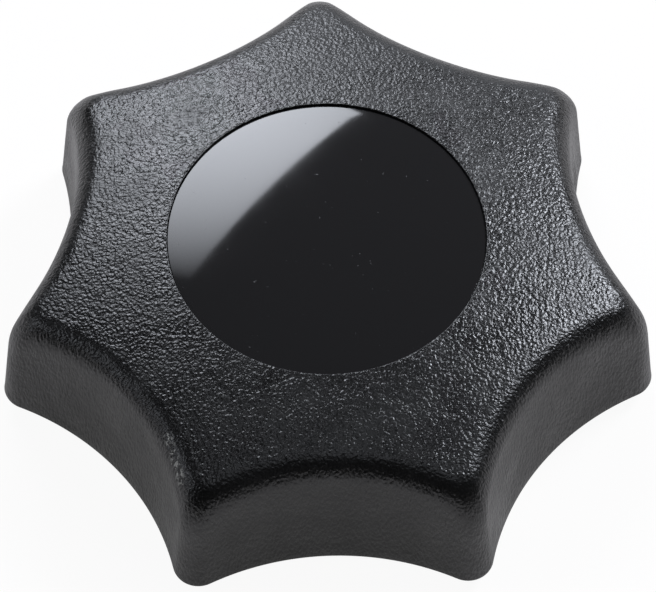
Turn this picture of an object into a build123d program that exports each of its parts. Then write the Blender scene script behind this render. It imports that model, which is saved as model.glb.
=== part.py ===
"""Seven-lobed star knob: a moulded plastic body, a threaded brass insert and a snap-in cap.

Millimetres, +Z up. The origin is the centre of the insert's seat face, which is the lowest
face of the knob, and one lobe points along +Y.
"""

from build123d import *
from math import asin, cos, pi, sin, sqrt, tan, radians
import os

# ---------------------------------------------------------------- grip outline, at the rim
lobe_count = 7
tip_radius = 30.0  # axis to lobe tip
scallop_depth = 5.6  # lobe tip to the bottom of a scallop
tip_corner_radius = 2.3  # rounding of a lobe, seen from above
draft_angle = 4.6  # degrees, the walls lean inwards towards the crown

# ---------------------------------------------------------------- heights above the seat face
insert_proud = 0.4  # the brass stands out of the hub
hub_proud = 1.0  # the hub stands out of the rim
hub_foot = insert_proud
rim_level = hub_foot + hub_proud

# ---------------------------------------------------------------- crown
crown_rise = 15.8  # rim to the top of the dome
dome_radius = 106.0
shoulder_inset = 4.0  # the dome rolls over this far inside the lobe tips
shoulder_radius = 4.8
crown_edge_radius = 1.3
rim_edge_radius = 0.3

# ---------------------------------------------------------------- moulded walls
wall = 2.6
core_corner_radius = 1.6
rib_thickness = 1.6
rib_setback = 2.0  # the ribs stop this far inside the rim
hub_radius = 10.4
hub_draft = 1.5
hub_edge_radius = 0.4

# ---------------------------------------------------------------- cap and its seat
cap_seat_radius = 14.33
cap_gap = 0.08  # round the cap
cap_sink = 0.4  # the cap's edge lies below the lip of its seat
cap_seat_depth = 2.5
seat_lip_radius = 0.25
cap_dome_radius = 106.0
cap_skin = 1.4
cap_skirt = 1.2
cap_edge_radius = 0.15
finger_count = 4
finger_radius = 7.25
finger_thickness = 1.2
finger_length = 3.6
finger_slot = 2.5
barb_reach = 0.45
barb_height = 0.8
well_gap = 0.15  # round the fingers
well_bottom_gap = 1.3  # under the fingers

# ---------------------------------------------------------------- insert, M10
tap_radius = 4.25
mouth_chamfer = 0.4
insert_flats = 14.0  # across the flats of its hexagon
insert_collar = 1.5
groove_depth = 0.8
groove_width = 2.0

# ---------------------------------------------------------------- worked out
valley_radius = tip_radius - scallop_depth
shoulder_start = tip_radius - shoulder_inset
half_pitch = pi / lobe_count
lobe_centre = tip_radius - tip_corner_radius
scallop_centre = (lobe_centre**2 - (valley_radius - tip_corner_radius) ** 2) / (
    2 * (lobe_centre * cos(half_pitch) - (valley_radius - tip_corner_radius))
)
scallop_radius = scallop_centre - valley_radius
crown_top = rim_level + crown_rise
dome_centre = crown_top - dome_radius
shoulder_slope = asin(shoulder_start / dome_radius)
shoulder_centre_x = shoulder_start - shoulder_radius * sin(shoulder_slope)
shoulder_centre_z = dome_centre + (dome_radius - shoulder_radius) * cos(shoulder_slope)
shoulder_end = radians(80)

seat_lip = dome_centre + sqrt(dome_radius**2 - cap_seat_radius**2)
seat_floor = seat_lip - cap_seat_depth
cap_radius = cap_seat_radius - cap_gap
cap_edge = seat_lip - cap_sink
cap_dome_centre = cap_edge - sqrt(cap_dome_radius**2 - cap_radius**2)
finger_foot = seat_floor - finger_length
well_radius = finger_radius + well_gap
well_floor = finger_foot - well_bottom_gap
insert_length = well_floor


def star(scallop, corner):
    """The closed outline of the lobes, from its scallop radius and its corner radius."""
    centre = scallop_centre * cos(half_pitch) - sqrt(
        (scallop + corner) ** 2 - (scallop_centre * sin(half_pitch)) ** 2
    )
    to_scallop = Vector(scallop_centre, 0).rotate(Axis.Z, 180 / lobe_count) - Vector(centre, 0)
    join = Vector(centre, 0) + to_scallop.normalized() * corner
    valley = Vector(scallop_centre - scallop, 0)
    for lobe in range(lobe_count):
        turn = 90 + lobe * 360 / lobe_count
        left = join.rotate(Axis.Z, turn)
        tip = Vector(centre + corner, 0).rotate(Axis.Z, turn)
        right = Vector(join.X, -join.Y).rotate(Axis.Z, turn)
        ThreePointArc(right, tip, left)
        low = valley.rotate(Axis.Z, turn + 180 / lobe_count)
        next_right = Vector(join.X, -join.Y).rotate(Axis.Z, turn + 360 / lobe_count)
        ThreePointArc(left, low, next_right)


def crown(inset):
    """Everything under the crown, or under a surface that lies inset below it."""
    dome = dome_radius - inset
    shoulder = shoulder_radius - inset
    start = Vector(
        shoulder_centre_x + shoulder * sin(shoulder_slope),
        shoulder_centre_z + shoulder * cos(shoulder_slope),
    )
    end = Vector(
        shoulder_centre_x + shoulder * sin(shoulder_end),
        shoulder_centre_z + shoulder * cos(shoulder_end),
    )
    middle = (shoulder_slope + shoulder_end) / 2
    outside = 1.2 * tip_radius
    with BuildPart(mode=Mode.PRIVATE) as under:
        with BuildSketch(Plane.XZ):
            with BuildLine():
                Line((0, -1), (0, dome_centre + dome))
                ThreePointArc(
                    (0, dome_centre + dome),
                    (
                        dome * sin(shoulder_slope / 2),
                        dome_centre + dome * cos(shoulder_slope / 2),
                    ),
                    start,
                )
                ThreePointArc(
                    start,
                    (
                        shoulder_centre_x + shoulder * sin(middle),
                        shoulder_centre_z + shoulder * cos(middle),
                    ),
                    end,
                )
                Polyline(end, (outside, end.Y), (outside, -1), (0, -1))
            make_face()
        revolve(axis=Axis.Z)
    return under.part


def rounded_edge(wall_x, side, size, sphere_centre, sphere_radius):
    """Start, middle and end of the arc that rounds a wall into a dome; side is 1 for a rim."""
    centre_x = wall_x - side * size
    slope = asin(centre_x / (sphere_radius - size))
    centre = Vector(centre_x, sphere_centre + (sphere_radius - size) * cos(slope))
    to_wall = Vector(side, 0)
    to_dome = Vector(sin(slope), cos(slope))
    middle = (to_wall + to_dome).normalized()
    return centre + to_wall * size, centre + middle * size, centre + to_dome * size


def insert_blank():
    """The insert before its bore: a hexagon bar turned round at the seat, with one groove."""
    with BuildPart(mode=Mode.PRIVATE) as blank:
        with BuildSketch():
            Circle(insert_flats / 2)
        extrude(amount=insert_collar)
        with BuildSketch(Plane.XY.offset(insert_collar)):
            RegularPolygon(insert_flats / 2, 6, major_radius=False)
        extrude(amount=insert_length - insert_collar)
        groove_foot = (insert_length + insert_collar - groove_width) / 2
        with BuildSketch(Plane.XY.offset(groove_foot)):
            Circle(insert_flats)
            Circle(insert_flats / 2 - groove_depth, mode=Mode.SUBTRACT)
        extrude(amount=groove_width, mode=Mode.SUBTRACT)
    return blank.part


# Insert: tapped right through and chamfered at both mouths.
with BuildPart() as threaded_insert:
    add(insert_blank())
    with BuildSketch():
        Circle(tap_radius)
    extrude(amount=insert_length, mode=Mode.SUBTRACT)
    mouths = threaded_insert.edges().filter_by(
        lambda e: e.geom_type == GeomType.CIRCLE and abs(e.radius - tap_radius) < 0.01
    )
    chamfer(mouths, mouth_chamfer)
threaded_insert.part.label = "threaded_insert"


# Cap: a domed skin on a skirt, with split fingers whose barbs catch in the body's well.
with BuildPart() as cap:
    with BuildSketch(Plane.XZ):
        with BuildLine():
            start, middle, end = rounded_edge(
                cap_radius, 1, cap_edge_radius, cap_dome_centre, cap_dome_radius
            )
            Polyline((0, seat_floor), (cap_radius, seat_floor), start)
            ThreePointArc(start, middle, end)
            peak = Vector(0, cap_dome_centre + cap_dome_radius)
            RadiusArc(end, peak, -cap_dome_radius)
            Line(peak, (0, seat_floor))
        make_face()
    revolve(axis=Axis.Z)
    with BuildSketch(Plane.XZ):
        with Locations((0, cap_dome_centre)):
            Circle(cap_dome_radius - cap_skin)
        with Locations(((cap_radius - cap_skirt) / 2, seat_floor)):
            Rectangle(cap_radius - cap_skirt, 2 * cap_seat_depth, mode=Mode.INTERSECT)
    revolve(axis=Axis.Z, mode=Mode.SUBTRACT)
    with BuildSketch(Plane.XZ):
        with BuildLine():
            barb_top = finger_foot + barb_height
            Polyline(
                (finger_radius - finger_thickness, finger_foot),
                (finger_radius - barb_reach, finger_foot),
                (finger_radius + barb_reach, barb_top - barb_reach),
                (finger_radius + barb_reach, barb_top),
                (finger_radius, barb_top),
                (finger_radius, cap_edge),
                (finger_radius - finger_thickness, cap_edge),
                close=True,
            )
        make_face()
    revolve(axis=Axis.Z)
    with BuildSketch(Plane.XY.offset(finger_foot)):
        with PolarLocations(finger_radius, finger_count):
            Rectangle(4 * finger_thickness, finger_slot)
    extrude(amount=seat_floor - finger_foot, mode=Mode.SUBTRACT)
cap.part.label = "cap"


# Core: the hollow under the crown, round the hub, the cap's seat and the ribs.
with BuildPart() as core:
    with BuildSketch(Plane.XY.offset(rim_level)):
        with BuildLine():
            star(scallop_radius + wall, core_corner_radius)
        make_face()
    extrude(amount=crown_rise, taper=draft_angle)
    add(crown(wall), mode=Mode.INTERSECT)
    with BuildSketch(Plane.XZ):
        with BuildLine():
            hub_top = hub_radius + (seat_floor - wall - rim_level) * tan(radians(hub_draft))
            Polyline(
                (0, 0),
                (hub_radius, 0),
                (hub_radius, rim_level),
                (hub_top, seat_floor - wall),
                (cap_seat_radius + wall, seat_floor - wall),
                (cap_seat_radius + wall, crown_top + 1),
                (0, crown_top + 1),
                close=True,
            )
        make_face()
    revolve(axis=Axis.Z, mode=Mode.SUBTRACT)
    with BuildSketch(Plane.XY.offset(rim_level + rib_setback)):
        with PolarLocations(tip_radius / 2, lobe_count, start_angle=90):
            Rectangle(tip_radius, rib_thickness)
    extrude(amount=crown_rise, mode=Mode.SUBTRACT)


# Body: the drafted star under the crown, hollowed by the core, with the cap's seat and well.
with BuildPart() as knob_body:
    with BuildSketch(Plane.XY.offset(rim_level)):
        with BuildLine():
            star(scallop_radius, tip_corner_radius)
        make_face()
    extrude(amount=crown_rise, taper=draft_angle)
    add(crown(0), mode=Mode.INTERSECT)
    top_outline = knob_body.edges().filter_by(
        lambda e: e.bounding_box().min.Z > rim_level + crown_rise / 2
        and e.geom_type != GeomType.CIRCLE
    )
    fillet(top_outline, crown_edge_radius)
    fillet(knob_body.faces().sort_by(Axis.Z)[0].edges(), rim_edge_radius)
    add(core.part, mode=Mode.SUBTRACT)
    with BuildSketch(Plane.XY.offset(hub_foot)):
        Circle(hub_radius)
    extrude(amount=hub_proud)
    lip_start, lip_middle, lip_end = rounded_edge(
        cap_seat_radius, -1, seat_lip_radius, dome_centre, dome_radius
    )
    with BuildSketch(Plane.XZ):
        with BuildLine():
            Polyline(
                (0, well_floor),
                (well_radius + barb_reach, well_floor),
                (well_radius + barb_reach, barb_top),
                (well_radius, barb_top),
                (well_radius, seat_floor),
                (cap_seat_radius, seat_floor),
                lip_start,
            )
            ThreePointArc(lip_start, lip_middle, lip_end)
            Polyline(lip_end, (lip_end.X, crown_top), (0, crown_top), (0, well_floor))
        make_face()
    revolve(axis=Axis.Z, mode=Mode.SUBTRACT)
    hub_edge = knob_body.edges().filter_by(
        lambda e: e.geom_type == GeomType.CIRCLE and abs(e.radius - hub_radius) < 0.01
    )
    fillet(hub_edge.sort_by(Axis.Z)[0], hub_edge_radius)
    add(insert_blank(), mode=Mode.SUBTRACT)
knob_body.part.label = "knob_body"

os.makedirs("parts", exist_ok=True)
for piece in (knob_body, threaded_insert, cap):
    export_step(piece.part, f"parts/{piece.part.label}.step")
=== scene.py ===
import bpy
import bmesh
from math import asin, atan2, cos, pi, radians, sin, sqrt, tan
from mathutils import Matrix, Vector


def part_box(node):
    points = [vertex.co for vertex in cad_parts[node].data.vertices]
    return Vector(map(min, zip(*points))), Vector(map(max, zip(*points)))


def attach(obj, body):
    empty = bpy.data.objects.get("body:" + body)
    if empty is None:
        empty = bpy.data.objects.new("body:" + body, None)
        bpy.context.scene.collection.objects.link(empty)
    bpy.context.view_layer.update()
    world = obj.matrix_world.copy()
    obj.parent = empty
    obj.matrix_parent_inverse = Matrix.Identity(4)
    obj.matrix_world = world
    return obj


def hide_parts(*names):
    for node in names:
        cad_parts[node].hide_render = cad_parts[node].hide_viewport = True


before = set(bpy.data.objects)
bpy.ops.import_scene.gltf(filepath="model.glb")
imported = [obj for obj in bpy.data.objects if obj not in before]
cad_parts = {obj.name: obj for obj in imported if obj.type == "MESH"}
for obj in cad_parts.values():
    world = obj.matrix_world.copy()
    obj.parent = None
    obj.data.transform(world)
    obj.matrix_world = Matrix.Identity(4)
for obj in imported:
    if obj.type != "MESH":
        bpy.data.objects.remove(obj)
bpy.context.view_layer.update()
mm = 0.001
scene = bpy.context.scene


# small helpers for meshes and node trees

def addObject(name, mesh):
    piece = bpy.data.objects.new(name, mesh)
    scene.collection.objects.link(piece)
    return piece


def ringMesh(name, rings, closedRound, closedAlong, marks=None):
    # rings of points, one row per ring; marks is one number per point, kept as an attribute
    columns = len(rings[0])
    points = [p for ring in rings for p in ring]
    faces = []
    rows = len(rings) if closedAlong else len(rings) - 1
    across = columns if closedRound else columns - 1
    for row in range(rows):
        below, above = row * columns, (row + 1) % len(rings) * columns
        for column in range(across):
            after = (column + 1) % columns
            faces.append((below + column, below + after, above + after, above + column))
    mesh = bpy.data.meshes.new(name)
    mesh.from_pydata(points, [], faces)
    if marks:
        layer = mesh.attributes.new("grain", "FLOAT", "POINT")
        layer.data.foreach_set("value", [m for ring in marks for m in ring])
    return mesh


def node(tree, kind, inputs=None, **settings):
    made = tree.nodes.new(kind)
    for key, value in settings.items():
        setattr(made, key, value)
    for key, value in (inputs or {}).items():
        if isinstance(value, bpy.types.NodeSocket):
            tree.links.new(value, made.inputs[key])
        else:
            made.inputs[key].default_value = value
    return made


def math(tree, operation, *values, clamp=False):
    return node(
        tree, "ShaderNodeMath", dict(enumerate(values)), operation=operation, use_clamp=clamp,
    ).outputs[0]


def ramp(tree, value, low, high, fromLow=0.0, fromHigh=1.0):
    made = node(
        tree, "ShaderNodeMapRange",
        {"Value": value, "From Min": fromLow, "From Max": fromHigh, "To Min": low, "To Max": high},
    )
    return made.outputs["Result"]


def newGroup(name, inputs, outputs, kind="ShaderNodeTree"):
    group = bpy.data.node_groups.new(name, kind)
    for label, socket, default in inputs:
        made = group.interface.new_socket(label, in_out="INPUT", socket_type=socket)
        if default is not None:
            made.default_value = default
    for label, socket in outputs:
        group.interface.new_socket(label, in_out="OUTPUT", socket_type=socket)
    return group, group.nodes.new("NodeGroupInput"), group.nodes.new("NodeGroupOutput")


def newMaterial(name):
    made = bpy.data.materials.new(name)
    made.use_nodes = True
    tree = made.node_tree
    return made, tree, tree.nodes["Principled BSDF"]


def applyNodes(piece, group, values):
    # the tree's result becomes the piece's plain mesh
    modifier = piece.modifiers.new(group.name, "NODES")
    modifier.node_group = group
    for item in group.interface.items_tree:
        if item.item_type == "SOCKET" and item.in_out == "INPUT" and item.name in values:
            modifier[item.identifier] = values[item.name]
    depsgraph = bpy.context.evaluated_depsgraph_get()
    result = bpy.data.meshes.new_from_object(piece.evaluated_get(depsgraph))
    piece.modifiers.clear()
    piece.data = result


# effects shared by the finishes

grainForm = {
    "driftScale": 0.8, "foldScale": 1.6, "smoothness": 0.2,
    "moundTop": 0.05, "moundFoot": 0.8, "moundShare": 0.5, "foldShare": 0.85,
}
speckForm = {"detail": 3.0, "roughness": 0.65, "level": 0.78, "edge": 0.05}


def leatherGrain():
    # small irregular pebbles; Stretch makes them long along the knob's axis
    group, given, result = newGroup(
        "leatherGrain",
        [
            ("Pitch", "NodeSocketFloat", 0.4), ("Wander", "NodeSocketFloat", 0.3),
            ("Stretch", "NodeSocketFloat", 1.0),
        ],
        [("Height", "NodeSocketFloat")],
    )
    place = node(group, "ShaderNodeTexCoord").outputs["Object"]
    squeeze = node(
        group, "ShaderNodeCombineXYZ",
        {"X": 1.0, "Y": 1.0, "Z": math(group, "DIVIDE", 1.0, given.outputs["Stretch"])},
    ).outputs[0]
    place = node(group, "ShaderNodeVectorMath", {0: place, 1: squeeze}, operation="MULTIPLY").outputs[0]
    perMetre = math(group, "DIVIDE", 1000.0, given.outputs["Pitch"])
    drift = node(
        group, "ShaderNodeTexNoise",
        {
            "Vector": place, "Scale": math(group, "MULTIPLY", perMetre, grainForm["driftScale"]),
            "Detail": 1.0,
        },
    )
    amount = math(group, "DIVIDE", given.outputs["Wander"], perMetre)
    centred = node(
        group, "ShaderNodeVectorMath", {0: drift.outputs["Color"], 1: (0.5, 0.5, 0.5)},
        operation="SUBTRACT",
    )
    moved = node(
        group, "ShaderNodeVectorMath", {0: centred.outputs[0], "Scale": amount}, operation="SCALE",
    )
    where = node(
        group, "ShaderNodeVectorMath", {0: place, 1: moved.outputs[0]}, operation="ADD",
    ).outputs[0]
    pebbles = node(
        group, "ShaderNodeTexVoronoi",
        {"Vector": where, "Scale": perMetre, "Smoothness": grainForm["smoothness"]}, feature="SMOOTH_F1",
    )
    folds = node(
        group, "ShaderNodeTexNoise",
        {
            "Vector": where, "Scale": math(group, "MULTIPLY", perMetre, grainForm["foldScale"]),
            "Detail": 1.0,
        },
    )
    mound = ramp(
        group, pebbles.outputs["Distance"], 1.0, 0.0, grainForm["moundTop"], grainForm["moundFoot"],
    )
    mound = math(group, "MULTIPLY", mound, grainForm["moundShare"])
    fold = math(group, "MULTIPLY", folds.outputs["Fac"], grainForm["foldShare"])
    height = math(group, "ADD", mound, fold)
    group.links.new(height, result.inputs["Height"])
    return group


def fineSpecks():
    # 1 on small scattered specks, 0 between them
    group, given, result = newGroup(
        "fineSpecks",
        [("Pitch", "NodeSocketFloat", 0.5), ("Share", "NodeSocketFloat", 0.1)],
        [("Mask", "NodeSocketFloat")],
    )
    place = node(group, "ShaderNodeTexCoord").outputs["Object"]
    perMetre = math(group, "DIVIDE", 1000.0, given.outputs["Pitch"])
    noise = node(
        group, "ShaderNodeTexNoise",
        {
            "Vector": place, "Scale": perMetre, "Detail": speckForm["detail"],
            "Roughness": speckForm["roughness"],
        },
    )
    edge = math(group, "SUBTRACT", speckForm["level"], given.outputs["Share"])
    mask = ramp(
        group, math(group, "SUBTRACT", noise.outputs["Fac"], edge), 0.0, 1.0, 0.0, speckForm["edge"],
    )
    group.links.new(mask, result.inputs["Mask"])
    return group


grainGroup = leatherGrain()
speckGroup = fineSpecks()


# the star body, in millimetres

star = {
    "lobes": 7,
    "tip": 30.0, "valley": 24.4, "tipRound": 2.3,
    "draft": radians(4.6),
    "rim": 1.4, "rimRound": 0.3,
    "crownTop": 17.2, "domeRadius": 106.0,
    "shoulderStart": 26.0, "shoulderRadius": 4.8,
    "lobeEdge": 2.3, "scallopEdge": 1.95, "topRound": 1.3,
    "wall": 2.6, "innerRound": 1.6,
    "innerTaper": 0.85,  # how far the inner wall leans in by the crown
    "ribThick": 1.6, "ribSetback": 2.0, "ribOverlap": 0.6, "ribLean": 0.2, "ribEnd": 9.5,
    "ribArch": (24.0, 20.5, 17.0), "ribSink": 1.6, "ribRoofRadius": 16.0, "ribRoof": 12.0,
    "hub": 10.4, "hubTopExtra": 0.25, "hubEdge": 0.4, "hubProud": 1.0, "insertRadius": 7.0,
    "lipRound": 0.08, "capGap": 0.05, "seatDepth": 2.5, "well": 7.4,
    "wallGrain": 0.1, "grainRise": 1.5,
    "columns": 126, "wallRings": 12, "edgeRings": 10, "crownRings": 58, "smoothAngle": 35,
    "swell": 0.024, "swellPitch": 1.1, "weld": 0.003,
}
capBox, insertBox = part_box("cap"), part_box("threaded_insert")
capRadius = capBox[1][0] / mm
seatRadius = capRadius + star["capGap"]
insertTop = insertBox[1][2] / mm

halfPitch = pi / star["lobes"]
lobeCentre = star["tip"] - star["tipRound"]
inwardGap = star["valley"] - star["tipRound"]
scallopCentre = (lobeCentre ** 2 - inwardGap ** 2) / (2 * (lobeCentre * cos(halfPitch) - inwardGap))
scallopRadius = scallopCentre - star["valley"]


def outline(angle, inward, corner):
    # distance from the axis to the star's outline, angle measured from a lobe
    scallop = scallopRadius + inward
    fromValley = halfPitch - abs(angle)
    reach = scallop ** 2 - (scallopCentre * sin(fromValley)) ** 2
    onScallop = scallopCentre * cos(fromValley) - sqrt(max(reach, 0.0))
    if corner <= 0.01:
        return onScallop
    span = scallop + corner
    centre = scallopCentre * cos(halfPitch) - sqrt(span ** 2 - (scallopCentre * sin(halfPitch)) ** 2)
    joinX = centre + corner * (scallopCentre * cos(halfPitch) - centre) / span
    joinY = corner * scallopCentre * sin(halfPitch) / span
    if abs(angle) > atan2(joinY, joinX):
        return onScallop
    return centre * cos(angle) + sqrt(max(corner ** 2 - (centre * sin(angle)) ** 2, 0.0))


def crownHeight(r, inset=0.0):
    domeCentre = star["crownTop"] - star["domeRadius"]
    dome = star["domeRadius"] - inset
    slope = asin(star["shoulderStart"] / star["domeRadius"])
    shoulder = star["shoulderRadius"] - inset
    middleX = star["shoulderStart"] - star["shoulderRadius"] * sin(slope)
    middleZ = domeCentre + (star["domeRadius"] - star["shoulderRadius"]) * cos(slope)
    if r <= middleX + shoulder * sin(slope):
        return domeCentre + sqrt(dome ** 2 - r ** 2)
    return middleZ + sqrt(max(shoulder ** 2 - (r - middleX) ** 2, 0.05))


def bodySector():
    # one lobe, from the middle of one scallop to the middle of the next; its ends meet the next lobes
    s = star
    angles = [halfPitch * (2 * i / s["columns"] - 1) for i in range(s["columns"] + 1)]
    slopeIn = tan(s["draft"])
    columns, marks = [], []
    for angle in angles:
        profile, grain = [], []

        def put(r, z, amount=0.0):
            profile.append((r, z))
            grain.append(amount)

        def outer(inward):
            return outline(angle, inward, max(s["tipRound"] - inward, s["topRound"]))

        # rim and outer wall
        flat, edge = s["rim"], s["rimRound"]
        for step in range(4):
            turn = pi / 2 * step / 3
            put(outer(edge - edge * sin(turn)), flat + edge - edge * cos(turn))
        spread = abs(angle) / halfPitch
        blend = spread * spread * (3 - 2 * spread)
        edgeSize = s["lobeEdge"] + (s["scallopEdge"] - s["lobeEdge"]) * blend
        wallTop = edgeSize * (1 - sin(s["draft"]))
        inward = 1.0
        for _ in range(4):
            top = crownHeight(outer(inward)) - wallTop
            inward = (top - flat) * slopeIn
        for step in range(1, s["wallRings"] + 1):
            share = step / s["wallRings"]
            low = flat + edge
            put(outer(slopeIn * (low + (top - low) * share - flat)), low + (top - low) * share)
        # rolled edge
        foot = inward + edgeSize * cos(s["draft"])
        for step in range(1, s["edgeRings"] + 1):
            turn = s["draft"] + (pi / 2 - s["draft"]) * step / s["edgeRings"]
            r = outer(foot - edgeSize * cos(turn))
            amount = s["wallGrain"] + (1 - s["wallGrain"]) * (step / s["edgeRings"]) ** s["grainRise"]
            put(r, crownHeight(r) - edgeSize * (1 - sin(turn)), amount)
        # crown, in to the lip of the cap's seat
        start, lip = r, seatRadius + s["lipRound"]
        for step in range(1, s["crownRings"] + 1):
            r = start + (lip - start) * step / s["crownRings"]
            put(r, crownHeight(r), 1.0)
        lipZ = crownHeight(lip)
        for step in range(1, 6):
            turn = pi / 2 * step / 5
            put(lip - s["lipRound"] * sin(turn), lipZ - s["lipRound"] * (1 - cos(turn)), 1 - step / 5)
        # seat, well and the wall of the insert
        floorZ = crownHeight(seatRadius) - s["seatDepth"]
        put(seatRadius, floorZ)
        put(s["well"], floorZ)
        put(s["well"], insertTop)
        put(s["insertRadius"], insertTop)
        # hub
        hubFoot = s["rim"] - s["hubProud"]
        put(s["insertRadius"], hubFoot)
        put(s["hub"] - s["hubEdge"], hubFoot)
        for step in range(1, 5):
            turn = pi / 2 * step / 4
            put(s["hub"] - s["hubEdge"] * (1 - sin(turn)), hubFoot + s["hubEdge"] * (1 - cos(turn)))
        # hollow
        roof = floorZ - s["wall"]
        put(s["hub"] + s["hubTopExtra"], roof)
        put(seatRadius + s["wall"], roof)
        put(seatRadius + s["wall"], crownHeight(seatRadius + s["wall"], s["wall"]))
        innerTop = outline(angle, s["wall"] + s["innerTaper"], s["innerRound"] - s["innerTaper"])
        for step in range(1, 7):
            r = seatRadius + s["wall"] + (innerTop - seatRadius - s["wall"]) * step / 6
            put(r, crownHeight(r, s["wall"]))
        top = profile[-1][1]
        for step in range(1, 5):
            z = top + (flat - top) * step / 4
            inner = (z - flat) * slopeIn
            put(outline(angle, s["wall"] + inner, s["innerRound"] - inner), z)
        turned = angle + pi / 2
        columns.append([(r * cos(turned) * mm, r * sin(turned) * mm, z * mm) for r, z in profile])
        marks.append(grain)
    rings = [[column[i] for column in columns] for i in range(len(columns[0]))]
    ringMarks = [[column[i] for column in marks] for i in range(len(marks[0]))]
    return ringMesh("bodySector", rings, False, True, ringMarks)


def ribMesh():
    # one flat rib, running a little into the hub, the wall and the crown
    s = star
    inner = outline(0.0, s["wall"], s["innerRound"])
    low = s["rim"] + s["ribSetback"]
    start = s["hub"] - s["ribOverlap"]
    arch = [(r, crownHeight(r, s["ribSink"])) for r in s["ribArch"]]
    side = [(start, low), (inner + s["ribOverlap"], low), (inner - s["ribLean"], s["ribEnd"])]
    side += arch + [(s["ribRoofRadius"], s["ribRoof"]), (start, s["ribRoof"])]
    built = bmesh.new()
    half = s["ribThick"] / 2
    left = [built.verts.new((-half * mm, r * mm, z * mm)) for r, z in side]
    right = [built.verts.new((half * mm, r * mm, z * mm)) for r, z in side]
    built.faces.new(left)
    built.faces.new(reversed(right))
    for i in range(len(side)):
        j = (i + 1) % len(side)
        built.faces.new((left[j], left[i], right[i], right[j]))
    bmesh.ops.recalc_face_normals(built, faces=built.faces)
    mesh = bpy.data.meshes.new("rib")
    built.to_mesh(mesh)
    built.free()
    return mesh


def roundPattern():
    # turns copies of the piece round the axis, welds them, then lets the grain swell the crown
    group, given, result = newGroup(
        "roundPattern",
        [
            ("Geometry", "NodeSocketGeometry", None), ("Rib", "NodeSocketObject", None),
            ("Count", "NodeSocketInt", 7), ("Weld", "NodeSocketFloat", 0.000002),
            ("Swell", "NodeSocketFloat", 0.0), ("Swell pitch", "NodeSocketFloat", 1.0),
            ("Material", "NodeSocketMaterial", None),
        ],
        [("Geometry", "NodeSocketGeometry")],
        "GeometryNodeTree",
    )
    count = given.outputs["Count"]
    spots = node(group, "GeometryNodeMeshLine", {"Count": count, "Offset": (0.0, 0.0, 0.0)})
    index = node(group, "GeometryNodeInputIndex").outputs[0]
    turn = math(group, "MULTIPLY", index, math(group, "DIVIDE", 2 * pi, count))
    spin = node(group, "ShaderNodeCombineXYZ", {"Z": turn}).outputs[0]

    def around(source):
        return node(
            group, "GeometryNodeInstanceOnPoints",
            {"Points": spots.outputs[0], "Instance": source, "Rotation": spin},
        ).outputs[0]

    shell = node(
        group, "GeometryNodeRealizeInstances", {"Geometry": around(given.outputs["Geometry"])},
    ).outputs[0]
    shell = node(
        group, "GeometryNodeMergeByDistance", {"Geometry": shell, "Distance": given.outputs["Weld"]},
    ).outputs[0]
    swellNoise = node(
        group, "ShaderNodeTexNoise",
        {"Scale": math(group, "DIVIDE", 1000.0, given.outputs["Swell pitch"]), "Detail": 1.0},
    )
    grain = node(
        group, "GeometryNodeInputNamedAttribute", {"Name": "grain"}, data_type="FLOAT",
    ).outputs["Attribute"]
    lift = math(
        group, "MULTIPLY",
        math(group, "MULTIPLY", math(group, "SUBTRACT", swellNoise.outputs[0], 0.5), grain),
        given.outputs["Swell"],
    )
    push = node(
        group, "ShaderNodeVectorMath",
        {0: node(group, "GeometryNodeInputNormal").outputs[0], "Scale": lift}, operation="SCALE",
    ).outputs[0]
    shell = node(group, "GeometryNodeSetPosition", {"Geometry": shell, "Offset": push}).outputs[0]
    ribs = node(group, "GeometryNodeObjectInfo", {"Object": given.outputs["Rib"]}).outputs["Geometry"]
    ribs = node(group, "GeometryNodeRealizeInstances", {"Geometry": around(ribs)}).outputs[0]
    joined = node(group, "GeometryNodeJoinGeometry")
    group.links.new(shell, joined.inputs[0])
    group.links.new(ribs, joined.inputs[0])
    finished = node(
        group, "GeometryNodeSetMaterial",
        {"Geometry": joined.outputs[0], "Material": given.outputs["Material"]},
    ).outputs[0]
    group.links.new(finished, result.inputs[0])
    return group


plastic = {
    "colour": (0.0030, 0.0029, 0.0029, 1),
    "crownPitch": 0.36, "crownWander": 0.6, "crownRoughness": 0.26,
    "sidePitch": 0.28, "sideStretch": 2.6, "sideHeight": 1.9, "sideRoughness": 0.44,
    "depth": 0.000066,
    "blotchPitch": 4.0, "blotch": 0.05,
    "scuffFrom": (-14.5, -19.0), "scuffTo": (-13.3, -23.2), "scuffWidth": 0.45, "scuffBase": 12.0,
    "scuffCore": 0.3, "scuffRise": 0.5,
    "scuffPitch": 0.42, "scuffShare": 0.26, "scuffColour": (0.30, 0.30, 0.28, 1), "scuffRoughness": 0.7,
}


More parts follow.
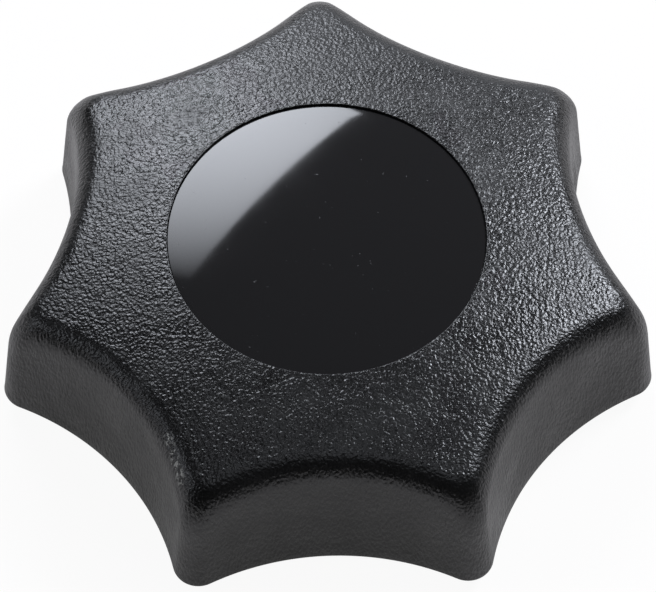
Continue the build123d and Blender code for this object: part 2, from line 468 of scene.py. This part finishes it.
def scuffBand(tree, start, end, width, base):
    # 1 along the line from start to end seen from above, and 0 beside it and below base
    place = node(tree, "ShaderNodeTexCoord").outputs["Object"]
    flat = node(tree, "ShaderNodeVectorMath", {0: place, 1: (1, 1, 0)}, operation="MULTIPLY").outputs[0]
    first = Vector((start[0] * mm, start[1] * mm, 0))
    along = Vector((end[0] * mm, end[1] * mm, 0)) - first
    fromFirst = node(tree, "ShaderNodeVectorMath", {0: flat, 1: first}, operation="SUBTRACT").outputs[0]
    reach = node(
        tree, "ShaderNodeVectorMath", {0: fromFirst, 1: along}, operation="DOT_PRODUCT",
    ).outputs["Value"]
    share = math(tree, "DIVIDE", reach, along.length_squared, clamp=True)
    nearest = node(
        tree, "ShaderNodeVectorMath", {0: along, "Scale": share}, operation="SCALE",
    ).outputs[0]
    away = node(
        tree, "ShaderNodeVectorMath", {0: fromFirst, 1: nearest}, operation="DISTANCE",
    ).outputs["Value"]
    beside = ramp(tree, away, 1.0, 0.0, plastic["scuffCore"] * width * mm, width * mm)
    above = ramp(
        tree, node(tree, "ShaderNodeSeparateXYZ", {0: place}).outputs["Z"], 0.0, 1.0, base * mm,
        (base + plastic["scuffRise"]) * mm,
    )
    return math(tree, "MULTIPLY", beside, above)


def bodyPlastic():
    made, tree, skin = newMaterial("bodyPlastic")
    p = plastic
    grain = node(tree, "ShaderNodeAttribute", attribute_name="grain").outputs["Fac"]
    leather = node(tree, "ShaderNodeGroup", {}, node_tree=grainGroup)
    leather.inputs["Pitch"].default_value = p["crownPitch"]
    leather.inputs["Wander"].default_value = p["crownWander"]
    matte = node(tree, "ShaderNodeGroup", {}, node_tree=grainGroup)
    matte.inputs["Pitch"].default_value = p["sidePitch"]
    matte.inputs["Stretch"].default_value = p["sideStretch"]
    coarse = math(tree, "MULTIPLY", leather.outputs[0], grain)
    fine = math(tree, "MULTIPLY", matte.outputs[0], ramp(tree, grain, p["sideHeight"], 0.0))
    height = math(tree, "ADD", coarse, fine)
    bump = node(tree, "ShaderNodeBump", {"Height": height, "Strength": 1.0, "Distance": p["depth"]})
    tree.links.new(bump.outputs[0], skin.inputs["Normal"])
    # uneven sheen, in soft blotches
    place = node(tree, "ShaderNodeTexCoord").outputs["Object"]
    cloud = node(
        tree, "ShaderNodeTexNoise", {"Vector": place, "Scale": 1000 / p["blotchPitch"], "Detail": 3.0},
    ).outputs["Fac"]
    sheen = ramp(tree, cloud, -p["blotch"], p["blotch"], 0.3, 0.7)
    gloss = math(tree, "ADD", ramp(tree, grain, p["sideRoughness"], p["crownRoughness"]), sheen)
    # rubbed specks on the edge of one lobe
    specks = node(tree, "ShaderNodeGroup", {}, node_tree=speckGroup)
    specks.inputs["Pitch"].default_value = p["scuffPitch"]
    specks.inputs["Share"].default_value = p["scuffShare"]
    band = scuffBand(tree, p["scuffFrom"], p["scuffTo"], p["scuffWidth"], p["scuffBase"])
    scuffed = math(tree, "MULTIPLY", specks.outputs[0], band)
    colour = node(
        tree, "ShaderNodeMix", {"Factor": scuffed, 6: p["colour"], 7: p["scuffColour"]},
        data_type="RGBA",
    )
    tree.links.new(colour.outputs[2], skin.inputs["Base Color"])
    worn = node(
        tree, "ShaderNodeMix", {"Factor": scuffed, 2: gloss, 3: p["scuffRoughness"]}, data_type="FLOAT",
    )
    tree.links.new(worn.outputs[0], skin.inputs["Roughness"])
    return made


bodyGroup = roundPattern()
bodyFinish = bodyPlastic()
rib = addObject("ribSource", ribMesh())
body = addObject("starBody", bodySector())
applyNodes(body, bodyGroup, {
    "Rib": rib, "Count": star["lobes"], "Weld": star["weld"] * mm,
    "Swell": star["swell"] * mm, "Swell pitch": star["swellPitch"], "Material": bodyFinish,
})
bpy.data.objects.remove(rib)


def addNick(piece, nick):
    # pushes the wall out at one spot and in beside it
    outward = Vector(nick["outward"]).normalized()
    for vertex in piece.data.vertices:
        x, y, z = vertex.co / mm
        band = min(
            max((z - nick["low"]) / nick["soft"], 0.0), max((nick["high"] - z) / nick["soft"], 0.0), 1.0,
        )
        for (spotX, spotY), reach, lift in nick["spots"]:
            near = 1 - ((x - spotX) ** 2 + (y - spotY) ** 2) / reach ** 2
            if near > 0 and band > 0:
                vertex.co += outward * (near * near * band * lift * mm)


# a small burr and the dent beside it, on the flank of one lobe: place, reach and lift
addNick(body, {
    "outward": (1.0, -0.1, 0.0), "low": 1.8, "high": 8.0, "soft": 2.0,
    "spots": [((23.7, 13.6), 1.3, 0.4), ((23.5, 11.7), 1.2, -0.15)],
})


def smoothByAngle(piece, degrees):
    mesh = piece.data
    mesh.shade_smooth()
    built = bmesh.new()
    built.from_mesh(mesh)
    bmesh.ops.recalc_face_normals(built, faces=built.faces)
    for edge in built.edges:
        edge.smooth = len(edge.link_faces) == 2 and edge.calc_face_angle(0.0) < radians(degrees)
    built.to_mesh(mesh)
    built.free()


smoothByAngle(body, star["smoothAngle"])
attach(body, "root")
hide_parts("knob_body")
print("star body", len(body.data.polygons), "faces")


# the cap

cap = {
    "domeRadius": 106.0, "edgeRound": 0.05, "sink": 0.25,
    "skin": 1.4, "skirt": 1.2,
    "fingers": 4, "fingerRadius": 7.25, "fingerThick": 1.2, "fingerWidth": 8.0,
    "barb": 0.45, "barbHeight": 0.8,
    "columns": 192, "domeRings": 12, "edgeRings": 5, "underRings": 6,
    "fingerColumns": 10, "fingerOverlap": 1.0, "smoothAngle": 35,
    "colour": (0.0138, 0.0134, 0.0138, 1), "gloss": 0.045, "haze": 0.065, "hazePitch": 5.0,
    "ripple": 0.0000012, "ripplePitch": 3.0,
    "dustPitch": 0.5, "dustShare": 0.07, "dustColour": (0.035, 0.035, 0.037, 1), "dustRoughness": 0.5,
}


def capMesh():
    c = cap
    edge = crownHeight(seatRadius) - c["sink"]
    centre = edge - sqrt(c["domeRadius"] ** 2 - capRadius ** 2)
    top = centre + c["domeRadius"]
    floorZ = crownHeight(seatRadius) - star["seatDepth"]
    profile = []
    edgeIn = capRadius - c["edgeRound"]
    for step in range(1, c["domeRings"] + 1):
        r = edgeIn * step / c["domeRings"]
        profile.append((r, centre + sqrt(c["domeRadius"] ** 2 - r ** 2)))
    shoulder = profile[-1][1]
    for step in range(1, c["edgeRings"] + 1):
        turn = pi / 2 * step / c["edgeRings"]
        profile.append(
            (edgeIn + c["edgeRound"] * sin(turn), shoulder - c["edgeRound"] * (1 - cos(turn)))
        )
    profile += [(capRadius, floorZ), (capRadius - c["skirt"], floorZ)]
    under = c["domeRadius"] - c["skin"]
    for step in range(c["underRings"]):
        r = (capRadius - c["skirt"]) * (1 - step / c["underRings"])
        profile.append((r, centre + sqrt(under ** 2 - r ** 2)))
    turns = [2 * pi * i / c["columns"] for i in range(c["columns"])]
    rings = [[(r * cos(a) * mm, r * sin(a) * mm, z * mm) for a in turns] for r, z in profile]
    mesh = ringMesh("capSkin", rings, True, False)
    built = bmesh.new()
    built.from_mesh(mesh)
    built.verts.ensure_lookup_table()
    last = len(built.verts)
    peak = built.verts.new((0, 0, top * mm))
    dip = built.verts.new((0, 0, (top - c["skin"]) * mm))
    built.verts.ensure_lookup_table()
    n = c["columns"]
    for i in range(n):
        j = (i + 1) % n
        built.faces.new((built.verts[j], built.verts[i], peak))
        built.faces.new((built.verts[last - n + i], built.verts[last - n + j], dip))
    bmesh.ops.recalc_face_normals(built, faces=built.faces)
    built.to_mesh(mesh)
    built.free()
    return mesh


def fingerMesh():
    c = cap
    low, high = capBox[0][2] / mm, capBox[1][2] / mm - c["fingerOverlap"]
    out, back = c["fingerRadius"], c["fingerRadius"] - c["fingerThick"]
    barbTop = low + c["barbHeight"]
    side = [
        (back, low), (out - c["barb"], low), (out + c["barb"], barbTop - c["barb"]),
        (out + c["barb"], barbTop), (out, barbTop), (out, high), (back, high),
    ]
    sweep = c["fingerWidth"] / c["fingerRadius"] / 2
    turns = [-sweep + 2 * sweep * i / c["fingerColumns"] for i in range(c["fingerColumns"] + 1)]
    rings = [[(r * cos(a) * mm, r * sin(a) * mm, z * mm) for r, z in side] for a in turns]
    mesh = ringMesh("finger", rings, True, False)
    built = bmesh.new()
    built.from_mesh(mesh)
    built.verts.ensure_lookup_table()
    k = len(side)
    built.faces.new([built.verts[i] for i in range(k)])
    built.faces.new([built.verts[len(built.verts) - k + i] for i in range(k)])
    bmesh.ops.recalc_face_normals(built, faces=built.faces)
    built.to_mesh(mesh)
    built.free()
    return mesh


def fingerPattern():
    group, given, result = newGroup(
        "fingerPattern",
        [
            ("Geometry", "NodeSocketGeometry", None), ("Finger", "NodeSocketObject", None),
            ("Count", "NodeSocketInt", 4), ("Start", "NodeSocketFloat", 0.0),
            ("Material", "NodeSocketMaterial", None),
        ],
        [("Geometry", "NodeSocketGeometry")],
        "GeometryNodeTree",
    )
    count = given.outputs["Count"]
    spots = node(group, "GeometryNodeMeshLine", {"Count": count, "Offset": (0.0, 0.0, 0.0)})
    index = node(group, "GeometryNodeInputIndex").outputs[0]
    turn = math(
        group, "ADD", given.outputs["Start"],
        math(group, "MULTIPLY", index, math(group, "DIVIDE", 2 * pi, count)),
    )
    spin = node(group, "ShaderNodeCombineXYZ", {"Z": turn}).outputs[0]
    finger = node(
        group, "GeometryNodeObjectInfo", {"Object": given.outputs["Finger"]},
    ).outputs["Geometry"]
    fingers = node(
        group, "GeometryNodeInstanceOnPoints",
        {"Points": spots.outputs[0], "Instance": finger, "Rotation": spin},
    ).outputs[0]
    joined = node(group, "GeometryNodeJoinGeometry")
    group.links.new(given.outputs["Geometry"], joined.inputs[0])
    group.links.new(fingers, joined.inputs[0])
    solid = node(group, "GeometryNodeRealizeInstances", {"Geometry": joined.outputs[0]}).outputs[0]
    finished = node(
        group, "GeometryNodeSetMaterial", {"Geometry": solid, "Material": given.outputs["Material"]},
    ).outputs[0]
    group.links.new(finished, result.inputs[0])
    return group


def capGloss():
    made, tree, skin = newMaterial("capGloss")
    c = cap
    place = node(tree, "ShaderNodeTexCoord").outputs["Object"]
    # polish that is a little hazier in soft patches, over a faint moulded ripple
    haze = node(
        tree, "ShaderNodeTexNoise", {"Vector": place, "Scale": 1000 / c["hazePitch"], "Detail": 4.0},
    ).outputs["Fac"]
    polish = ramp(tree, haze, c["gloss"], c["haze"], 0.35, 0.75)
    ripple = node(
        tree, "ShaderNodeTexNoise", {"Vector": place, "Scale": 1000 / c["ripplePitch"], "Detail": 0.0},
    ).outputs["Fac"]
    bump = node(tree, "ShaderNodeBump", {"Height": ripple, "Strength": 1.0, "Distance": c["ripple"]})
    tree.links.new(bump.outputs[0], skin.inputs["Normal"])
    # a few specks of dust
    dust = node(tree, "ShaderNodeGroup", {}, node_tree=speckGroup)
    dust.inputs["Pitch"].default_value = c["dustPitch"]
    dust.inputs["Share"].default_value = c["dustShare"]
    colour = node(
        tree, "ShaderNodeMix", {"Factor": dust.outputs[0], 6: c["colour"], 7: c["dustColour"]},
        data_type="RGBA",
    )
    tree.links.new(colour.outputs[2], skin.inputs["Base Color"])
    rough = node(
        tree, "ShaderNodeMix", {"Factor": dust.outputs[0], 2: polish, 3: c["dustRoughness"]},
        data_type="FLOAT",
    )
    tree.links.new(rough.outputs[0], skin.inputs["Roughness"])
    return made


finger = addObject("fingerSource", fingerMesh())
capPiece = addObject("snapCap", capMesh())
applyNodes(
    capPiece, fingerPattern(),
    {"Finger": finger, "Count": cap["fingers"], "Start": pi / 4, "Material": capGloss()},
)
bpy.data.objects.remove(finger)
smoothByAngle(capPiece, cap["smoothAngle"])
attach(capPiece, "root")
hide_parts("cap")
print("cap", len(capPiece.data.polygons), "faces")


# the brass insert, with its thread

insert = {
    "flats": 14.0, "collar": 1.5, "groove": 0.8, "grooveWidth": 2.0,
    "minor": 4.25, "major": 5.0, "pitch": 1.5, "mouth": 5.15,
    "crest": 0.125, "columns": 72, "rowsPerPitch": 10, "weld": 0.001, "smoothAngle": 25,
}


brass = {
    "colour": (0.74, 0.58, 0.28, 1), "tarnish": (0.55, 0.40, 0.19, 1), "tarnishPitch": 2.5,
    "bright": 0.2, "dull": 0.38, "markPitch": 0.12, "markDepth": 0.000004,
}


def insertMesh():
    s = insert
    turns = [2 * pi * i / s["columns"] for i in range(s["columns"])]

    def hexagon(a):
        return s["flats"] / 2 / cos((a + pi / 6) % (pi / 3) - pi / 6)

    def threadRadius(a, z):
        phase = (z / s["pitch"] - a / (2 * pi)) % 1.0
        flank = abs(phase * 2 - 1)
        depth = min(max((flank - s["crest"]) / (1 - 2 * s["crest"]), 0.0), 1.0)
        cut = s["minor"] + (s["major"] - s["minor"]) * depth
        return max(cut, s["mouth"] - z, s["mouth"] - (insertTop - z))

    middle = (insertTop + s["collar"] - s["grooveWidth"]) / 2
    outside = [
        (0.0, None), (s["collar"], None), (s["collar"], 1), (middle, 1), (middle, 0),
        (middle + s["grooveWidth"], 0), (middle + s["grooveWidth"], 1), (insertTop, 1),
    ]
    rings = []
    for z, shape in outside:
        reach = {
            None: lambda a: s["flats"] / 2, 1: hexagon, 0: lambda a: s["flats"] / 2 - s["groove"],
        }[shape]
        rings.append([(reach(a) * cos(a) * mm, reach(a) * sin(a) * mm, z * mm) for a in turns])
    rows = round(insertTop / s["pitch"] * s["rowsPerPitch"])
    for row in range(rows, -1, -1):
        z = insertTop * row / rows
        rings.append(
            [(threadRadius(a, z) * cos(a) * mm, threadRadius(a, z) * sin(a) * mm, z * mm) for a in turns]
        )
    mesh = ringMesh("brassInsert", rings, True, True)
    # the collar meets the middle of each flat
    built = bmesh.new()
    built.from_mesh(mesh)
    bmesh.ops.remove_doubles(built, verts=built.verts, dist=s["weld"] * mm)
    built.to_mesh(mesh)
    built.free()
    return mesh


def turnedBrass():
    made, tree, metal = newMaterial("turnedBrass")
    b = brass
    place = node(tree, "ShaderNodeTexCoord").outputs["Object"]
    flat = node(tree, "ShaderNodeVectorMath", {0: place, 1: (1, 1, 0)}, operation="MULTIPLY").outputs[0]
    radius = node(tree, "ShaderNodeVectorMath", {0: flat}, operation="LENGTH").outputs["Value"]
    height = node(tree, "ShaderNodeSeparateXYZ", {0: place}).outputs["Z"]
    # tool marks ring the axis
    across = node(tree, "ShaderNodeCombineXYZ", {"X": radius, "Y": height}).outputs[0]
    marks = node(
        tree, "ShaderNodeTexNoise", {"Vector": across, "Scale": 1000 / b["markPitch"], "Detail": 2.0},
    ).outputs["Fac"]
    bump = node(tree, "ShaderNodeBump", {"Height": marks, "Strength": 1.0, "Distance": b["markDepth"]})
    tree.links.new(bump.outputs[0], metal.inputs["Normal"])
    tree.links.new(ramp(tree, marks, b["bright"], b["dull"], 0.3, 0.7), metal.inputs["Roughness"])
    tarnish = node(
        tree, "ShaderNodeTexNoise", {"Vector": place, "Scale": 1000 / b["tarnishPitch"], "Detail": 4.0},
    ).outputs["Fac"]
    share = ramp(tree, tarnish, 0.0, 1.0, 0.4, 0.7)
    colour = node(
        tree, "ShaderNodeMix", {"Factor": share, 6: b["colour"], 7: b["tarnish"]}, data_type="RGBA",
    )
    tree.links.new(colour.outputs[2], metal.inputs["Base Color"])
    metal.inputs["Metallic"].default_value = 1.0
    return made


insertPiece = addObject("brassInsert", insertMesh())
insertPiece.data.materials.append(turnedBrass())
smoothByAngle(insertPiece, insert["smoothAngle"])
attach(insertPiece, "root")
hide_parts("threaded_insert")
print("insert", len(insertPiece.data.polygons), "faces")


# floor, light and camera

studio = {
    "floorSize": 3.0, "floorColour": (0.92, 0.87, 0.86, 1), "floorRoughness": 0.9,
    "floorLift": 0.94, "floorGlow": 0.47,
    "lampColour": (0.945, 0.985, 1.07), "room": 0.03,
    "azimuth": radians(-91.515), "elevation": radians(57.52), "distance": 0.6585,
    "aimHeight": 0.0161, "aimDown": 0.005177, "aimRight": 0.00013, "roll": radians(-0.158),
    "lens": 404.53, "sensor": 36.0, "clip": (0.01, 20.0),
}


def addFloor():
    s = studio["floorSize"] / 2
    mesh = bpy.data.meshes.new("floor")
    mesh.from_pydata([(-s, -s, 0), (s, -s, 0), (s, s, 0), (-s, s, 0)], [], [(0, 1, 2, 3)])
    floor = addObject("floor", mesh)
    made, tree, skin = newMaterial("floorPaper")
    skin.inputs["Base Color"].default_value = studio["floorColour"]
    skin.inputs["Roughness"].default_value = studio["floorRoughness"]
    path = node(tree, "ShaderNodeLightPath")
    mirrored = math(tree, "MAXIMUM", path.outputs["Is Glossy Ray"], path.outputs["Is Transmission Ray"])
    white = node(tree, "ShaderNodeEmission", {"Color": (1, 1, 1, 1), "Strength": 1.0})
    lifted = math(tree, "MULTIPLY", path.outputs["Is Camera Ray"], studio["floorLift"])
    share = math(tree, "ADD", lifted, math(tree, "MULTIPLY", mirrored, studio["floorGlow"]))
    mixed = node(tree, "ShaderNodeMixShader", {0: share, 1: skin.outputs[0], 2: white.outputs[0]})
    tree.links.new(mixed.outputs[0], tree.nodes["Material Output"].inputs["Surface"])
    mesh.materials.append(made)


def hotSpot(light, size, hot, fade):
    # the lamp is brightest at hot and fades to nothing at the distance fade from it
    light.use_nodes = True
    tree = light.node_tree
    spot = node(
        tree, "ShaderNodeSeparateXYZ", {0: node(tree, "ShaderNodeNewGeometry").outputs["Parametric"]},
    )
    total = 0.0
    for axis, length, middle in (("X", size[0], hot[0]), ("Y", size[1], hot[1])):
        away = ramp(
            tree, spot.outputs[axis], (-length / 2 - middle) / fade, (length / 2 - middle) / fade,
        )
        total = math(tree, "ADD", math(tree, "MULTIPLY", away, away), total)
    strength = math(tree, "SUBTRACT", 1.0, total, clamp=True)
    tree.links.new(strength, tree.nodes["Emission"].inputs["Strength"])


def addPanel(name, towards, across, distance, size, glow, slide=(0, 0), hot=None, fade=1.0):
    # a soft panel seen from the origin along towards; across is its long side, glow its brightness
    back = Vector(towards).normalized()
    side = (Vector(across) - back * back.dot(Vector(across))).normalized()
    rise = back.cross(side)
    light = bpy.data.lights.new(name, "AREA")
    light.shape = "RECTANGLE"
    light.size, light.size_y = size
    light.energy = glow * pi * size[0] * size[1]
    light.color = studio["lampColour"]
    if hot:
        hotSpot(light, size, hot, fade)
    lamp = addObject(name, light)
    place = back * distance + side * slide[0] + rise * slide[1]
    lamp.matrix_world = Matrix((
        (side.x, rise.x, back.x, place.x), (side.y, rise.y, back.y, place.y),
        (side.z, rise.z, back.z, place.z), (0, 0, 0, 1),
    ))


def compass(azimuth, elevation):
    # measured from straight behind the knob, turning to its right
    turn, lift = radians(azimuth), radians(elevation)
    return (sin(turn) * cos(lift), cos(turn) * cos(lift), sin(lift))


addFloor()

panels = {
    "leftPanel": {
        "towards": (-0.346, 0.621, 0.742), "across": (-0.65, -0.633, 0.418), "distance": 1.34,
        "size": (0.72, 0.61), "glow": 12.2, "slide": (-0.19, 0.005), "hot": (-0.21, 0.04), "fade": 0.57,
    },
    "rightPanel": {
        "towards": compass(54, 43), "across": (0.35, -0.55, 0.5), "distance": 1.3,
        "size": (0.48, 0.36), "glow": 26.5,
    },
    "backPanel": {
        "towards": compass(8, 21), "across": (1, 0, 0), "distance": 1.7, "size": (1.6, 1.0), "glow": 1.2,
    },
    "overheadPanel": {
        "towards": compass(180, 87), "across": (1, 0, 0), "distance": 1.3, "size": (0.5, 0.4), "glow": 1.2,
    },
    "sidePanel": {
        "towards": compass(-92, 28), "across": (0, 1, 0), "distance": 1.3, "size": (0.5, 0.5), "glow": 2.4,
    },
}
for panelName, panel in panels.items():
    addPanel(panelName, **panel)

world = bpy.data.worlds.new("studio")
scene.world = world
world.use_nodes = True
room = world.node_tree
background = room.nodes["Background"]
background.inputs["Color"].default_value = (1, 1, 1, 1)
seen = node(room, "ShaderNodeLightPath").outputs["Is Camera Ray"]
room.links.new(ramp(room, seen, studio["room"], 1.0), background.inputs["Strength"])
scene.view_settings.view_transform = "Standard"

cameraData = bpy.data.cameras.new("camera")
cameraData.sensor_width = studio["sensor"]
cameraData.lens = studio["lens"]
cameraData.clip_start, cameraData.clip_end = studio["clip"]
camera = addObject("camera", cameraData)
direction = Vector(
    (
        cos(studio["elevation"]) * cos(studio["azimuth"]),
        cos(studio["elevation"]) * sin(studio["azimuth"]), sin(studio["elevation"]),
    )
)
right = Vector((-sin(studio["azimuth"]), cos(studio["azimuth"]), 0))
up = direction.cross(right)
target = Vector((0, 0, studio["aimHeight"]))
camera.location = target + direction * studio["distance"]
aim = target - up * studio["aimDown"] + right * studio["aimRight"]
toAim = (aim - camera.location).normalized()
sideways = toAim.cross(up).normalized()
upright = sideways.cross(toAim)
turned = Matrix.Rotation(studio["roll"], 3, toAim)
sideways, upright = turned @ sideways, turned @ upright
camera.matrix_world = Matrix((
    (sideways.x, upright.x, -toAim.x, camera.location.x),
    (sideways.y, upright.y, -toAim.y, camera.location.y),
    (sideways.z, upright.z, -toAim.z, camera.location.z),
    (0, 0, 0, 1),
))
scene.camera = camera
print("camera and lights")
